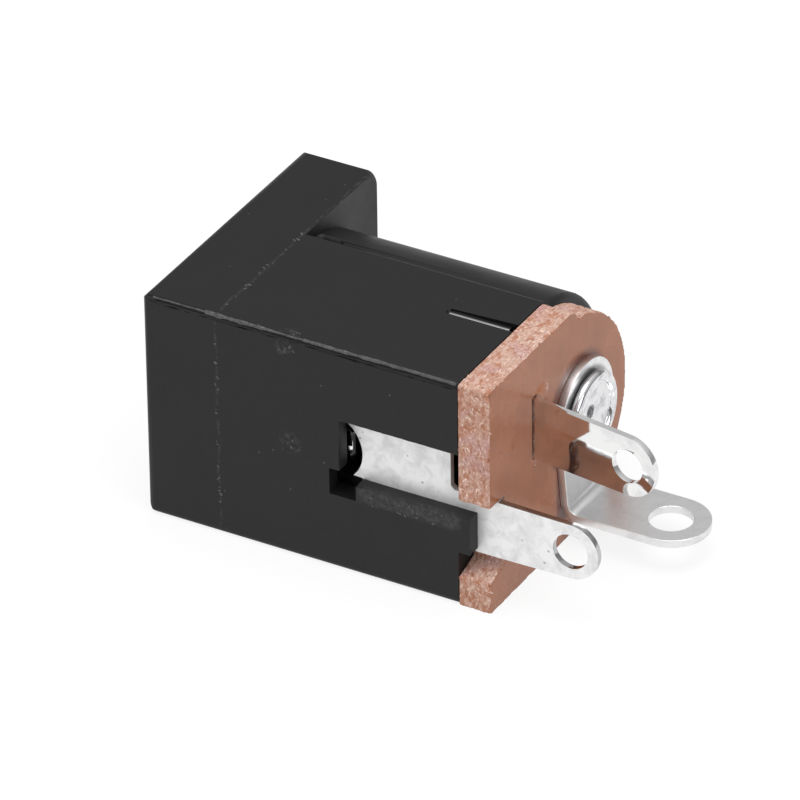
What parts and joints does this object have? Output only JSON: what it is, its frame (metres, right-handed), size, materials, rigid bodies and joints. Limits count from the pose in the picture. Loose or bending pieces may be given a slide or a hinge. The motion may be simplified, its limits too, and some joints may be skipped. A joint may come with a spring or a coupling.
{
  "type": "dc barrel jack",
  "caption": "Power socket for a coaxial barrel plug, with a square-flanged moulded body, laminated back board and solder lugs with eyes",
  "frame": {"origin": "bore axis at the front face of the flange", "axes": "+X along the bore from the plug's mouth to the solder lugs, -Y toward the base face with the spring window, +Z across the width; the jack lies on its -Z side face"},
  "size_m": [0.0189, 0.0112, 0.009],
  "materials": {
    "housing": "satin black moulded plastic",
    "board": "semi-gloss brown paper laminate with rough cut edges",
    "pin": "bright plated turned metal",
    "terminal": "bright tinned sheet",
    "spring": "tinned spring sheet"
  },
  "bodies": {
    "root": {"housing": "housing", "back_board": "board", "centre_pin": "pin", "pin_terminal": "terminal", "sleeve_contact": "spring", "switch_contact": "spring"}
  },
  "joints": []
}
